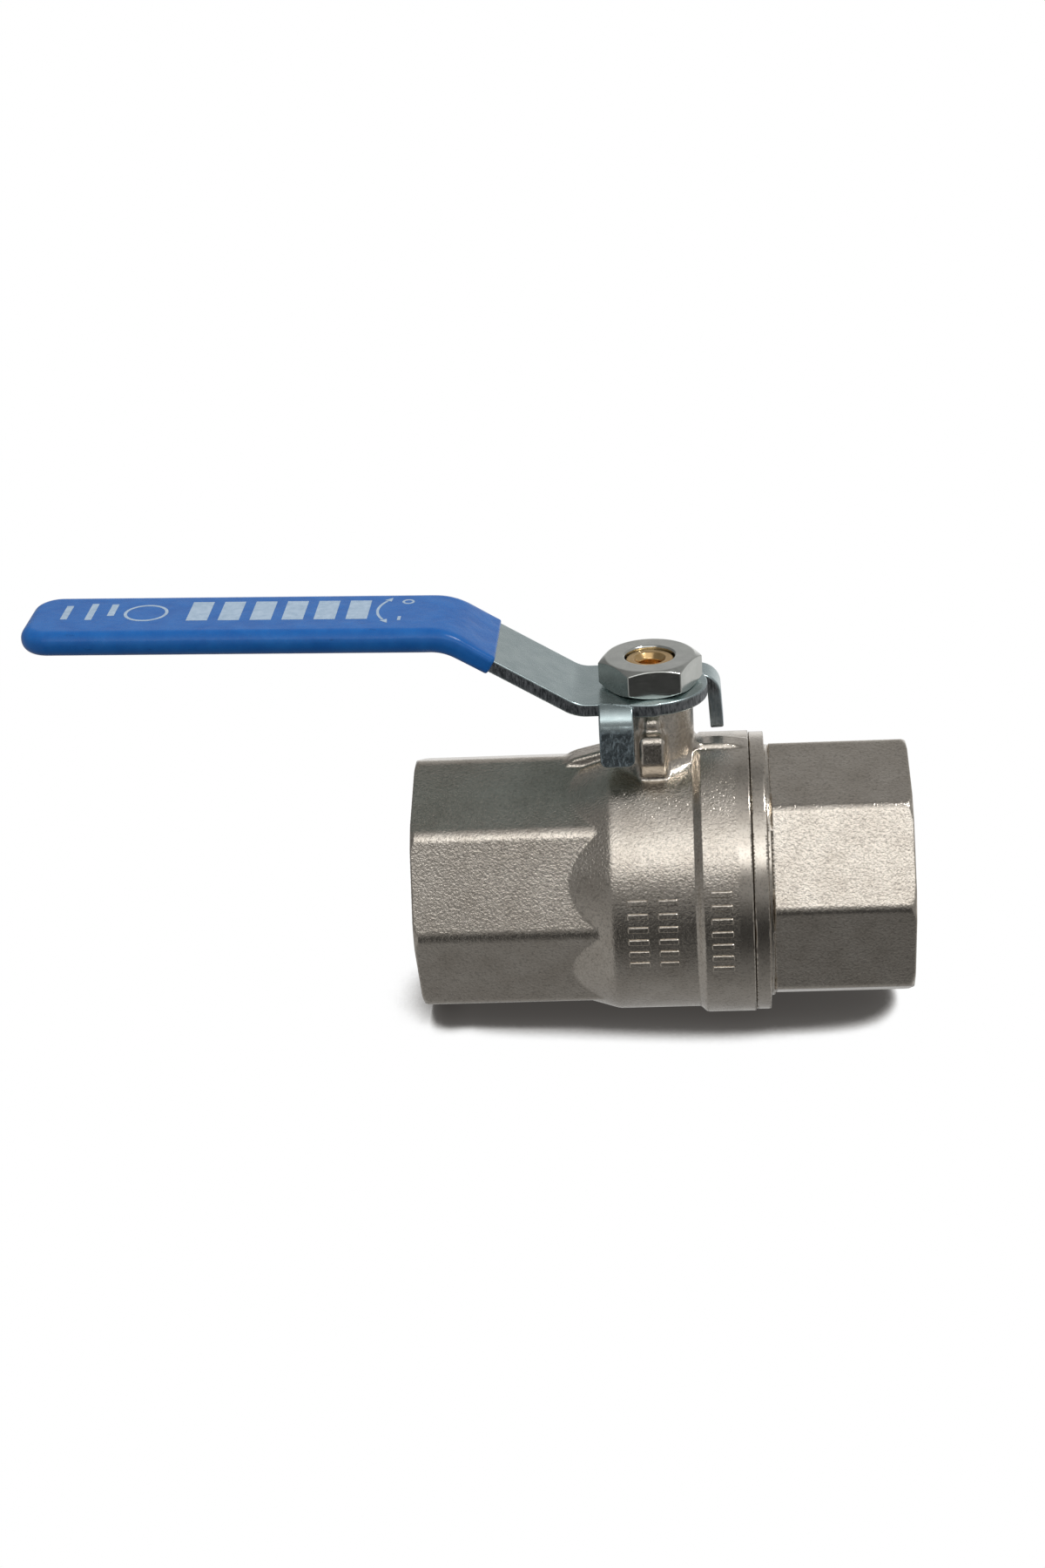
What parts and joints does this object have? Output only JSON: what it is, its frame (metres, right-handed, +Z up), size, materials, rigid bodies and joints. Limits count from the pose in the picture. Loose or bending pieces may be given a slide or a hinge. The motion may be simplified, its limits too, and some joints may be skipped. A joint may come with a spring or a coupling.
{
  "type": "lever ball valve",
  "caption": "Quarter-turn ball valve with internal pipe threads, wrench octagons at both ends and a bent plate lever with a dipped blue grip.",
  "frame": {"origin": "on the resting plane, straight below the pipe axis and midway between the grip's end and the end cap's face; the ball's centre is at x 34.57 mm, z 27.08 mm", "axes": "+X along the pipe towards the screwed end cap, +Z up the stem; the open lever points along -X"},
  "size_m": [0.1648, 0.0542, 0.0852],
  "materials": {
    "nickel_plated_brass": "satin nickel plating over a fine forged and blasted surface",
    "bare_brass": "turned",
    "chromed_ball": "polished",
    "zinc_plated_steel": "bright zinc plating",
    "blue_vinyl": "dipped, satin gloss",
    "ptfe": "machined",
    "seal_rubber": "moulded"
  },
  "bodies": {
    "housing": {"body": "nickel_plated_brass", "end_cap": "nickel_plated_brass", "body_seal": "ptfe", "seat_ring_left": "ptfe", "seat_ring_right": "ptfe", "stem_thrust_washer": "ptfe"},
    "stem_lever": {"stem": "bare_brass", "stem_o_ring_lower": "seal_rubber", "stem_o_ring_upper": "seal_rubber", "lever": "zinc_plated_steel", "lever_grip": "blue_vinyl", "lever_nut": "zinc_plated_steel"},
    "ball": {"ball": "chromed_ball"}
  },
  "joints": [
    {"name": "lever_turn", "type": "hinge", "parent": "housing", "child": "stem_lever", "pos_m": [0.03457, 0, 0.06578], "axis": [0, 0, 1], "range_deg": [-90, 0]},
    {"name": "ball_turn", "type": "hinge", "parent": "housing", "child": "ball", "pos_m": [0.03457, 0, 0.02708], "axis": [0, 0, 1], "range_deg": [-90, 0]}
  ],
  "couplings": [
    {"joint": "ball_turn", "follows": "lever_turn", "ratio": 1}
  ]
}
